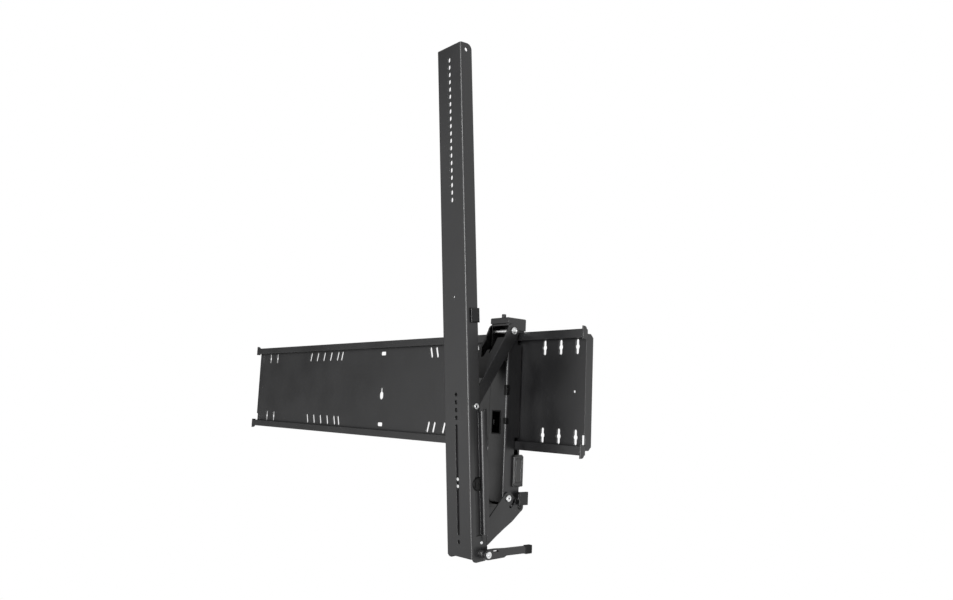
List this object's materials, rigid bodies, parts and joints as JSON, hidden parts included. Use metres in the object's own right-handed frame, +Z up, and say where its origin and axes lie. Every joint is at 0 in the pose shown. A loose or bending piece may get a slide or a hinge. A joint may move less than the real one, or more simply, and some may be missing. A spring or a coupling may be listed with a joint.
{
  "type": "tilting tv wall mount",
  "caption": "Long steel wall plate with rails, a hook-on hanger that slides and latches, a two-link tilt linkage, an upright slotted display arm and a fold-out kickstand.",
  "frame": {"origin": "centre of the wall plate, on the plane of the wall", "axes": "+X along the wall to the right as seen from the room, +Y into the wall, +Z up"},
  "size_m": [1.1362, 0.1944, 0.8503],
  "materials": {
    "black_steel": "satin",
    "zinc": "brushed",
    "black_plastic": "matte",
    "rubber": "matte"
  },
  "bodies": {
    "wall": {"wall_plate": "black_steel", "rail_end_caps": "black_plastic"},
    "carriage": {"hook_carriage": "black_steel", "carriage_glides": "black_plastic"},
    "screw": {"height_screw": "black_steel"},
    "hanger": {"hanger_bracket": "black_steel", "top_cap": "black_steel", "upper_pivot_pin": "zinc", "lower_pivot_pin": "zinc", "pivot_washers": "black_plastic", "edge_clips": "black_plastic", "window_liner": "black_plastic", "latch_cover": "black_plastic", "latch_screws": "zinc", "tilt_stop_pin": "black_steel", "latch_spring": "zinc"},
    "latch": {"latch_slider": "black_steel", "release_tab": "black_plastic"},
    "link_upper": {"upper_link": "black_steel"},
    "link_lower": {"lower_link": "black_steel"},
    "arm": {"display_arm": "black_steel", "tilt_bracket": "black_steel", "arm_studs": "zinc", "elbow_pin": "zinc", "lower_elbow_pin": "zinc", "elbow_washers": "black_plastic", "arm_clip": "black_plastic", "arm_knob": "black_plastic", "kickstand_pin": "zinc"},
    "kickstand": {"kickstand_lever": "black_steel", "kickstand_tip": "rubber"}
  },
  "joints": [
    {"name": "rail_slide", "type": "slide", "parent": "wall", "child": "carriage", "axis": [1, 0, 0], "range_m": [-0.935, 0.14]},
    {"name": "lift", "type": "slide", "parent": "carriage", "child": "hanger", "axis": [0, 0, 1], "range_m": [0, 0.004]},
    {"name": "screw_turn", "type": "hinge", "parent": "carriage", "child": "screw", "pos_m": [0.3979, -0.0425, 0.1143], "axis": [0, 0, 1], "range_deg": [-1152, 0]},
    {"name": "latch_pull", "type": "slide", "parent": "hanger", "child": "latch", "axis": [0, 0, 1], "range_m": [-0.006, 0], "stiffness_N_per_m": 400, "springref_m": 0.012, "deforming": ["latch_spring"]},
    {"name": "swing", "type": "hinge", "parent": "hanger", "child": "link_upper", "pos_m": [0.3979, -0.0425, 0.1013], "axis": [1, 0, 0], "range_deg": [-24, 4]},
    {"name": "elbow", "type": "hinge", "parent": "link_upper", "child": "arm", "pos_m": [0.3979, -0.1267, -0.03], "axis": [1, 0, 0], "range_deg": [-4.8, 28.8]},
    {"name": "lower_link_turn", "type": "hinge", "parent": "hanger", "child": "link_lower", "pos_m": [0.3979, -0.0413, -0.1804], "axis": [1, 0, 0], "range_deg": [-35.5, 6]},
    {"name": "kickstand_fold", "type": "hinge", "parent": "arm", "child": "kickstand", "pos_m": [0.3979, -0.099, -0.2646], "axis": [1, 0, 0], "range_deg": [0, 85]}
  ],
  "couplings": [
    {"joint": "screw_turn", "follows": "lift", "rad_per_m": -5026.5},
    {"joint": "elbow", "follows": "swing", "ratio": -1.196},
    {"joint": "lower_link_turn", "follows": "swing", "ratio": 1.475}
  ]
}
